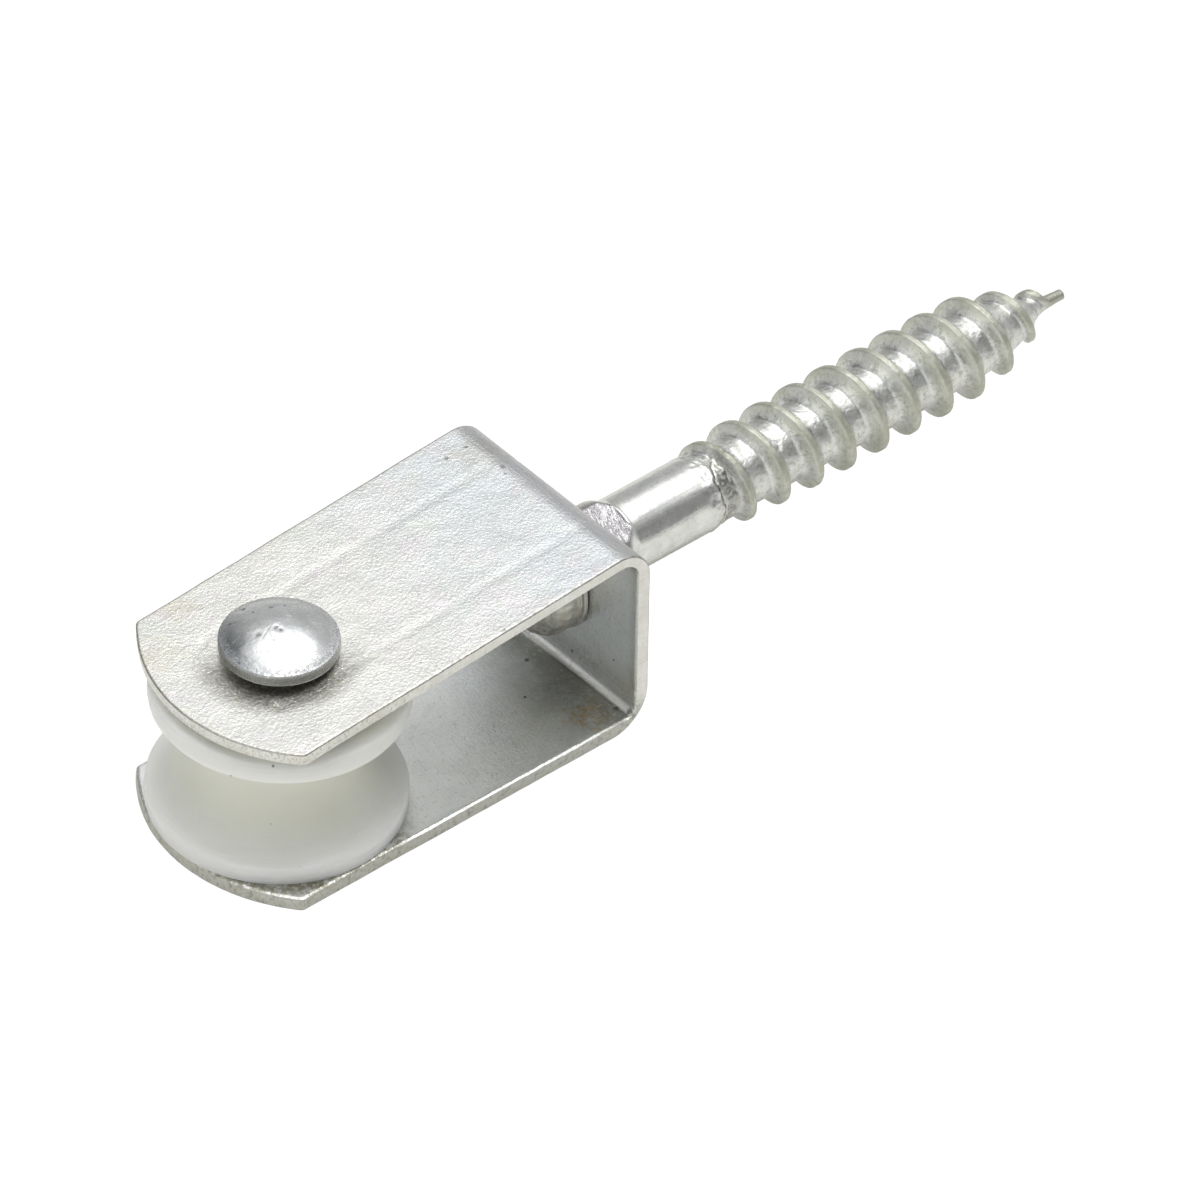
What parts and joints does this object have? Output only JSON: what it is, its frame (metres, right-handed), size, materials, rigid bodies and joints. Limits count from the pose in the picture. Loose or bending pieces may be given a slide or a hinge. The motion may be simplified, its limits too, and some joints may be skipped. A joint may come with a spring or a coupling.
{
  "type": "sliding door roller",
  "caption": "Fork-held grooved wheel on a riveted axle, with a wood screw riveted through the fork's base, that carries or guides a sliding leaf along a round-topped rail.",
  "frame": {"origin": "on the wheel's axle, in the plane of the flat end of the axle rivet's tail", "axes": "+X along the wood screw towards its point, +Z along the axle towards the rivet's domed head, Y across the fork's arms"},
  "size_m": [0.1126, 0.0254, 0.0252],
  "materials": {
    "zinc_sheet": "bright zinc plate with fine grain, sheared edges duller",
    "milky_nylon": "moulded translucent white, semi-gloss, fine turning marks on the rims",
    "rivet_steel": "smooth bright zinc plate with small dents",
    "screw_zinc": "zinc plate with a faint yellow-green tint on the thread"
  },
  "bodies": {
    "frame": {"u_bracket": "zinc_sheet", "axle_rivet": "rivet_steel", "wood_screw": "screw_zinc"},
    "wheel": {"grooved_wheel": "milky_nylon"}
  },
  "joints": [
    {"name": "wheel_spin", "type": "hinge", "parent": "frame", "child": "wheel", "pos_m": [0, 0, 0.011], "axis": [0, 0, 1], "continuous": true}
  ]
}
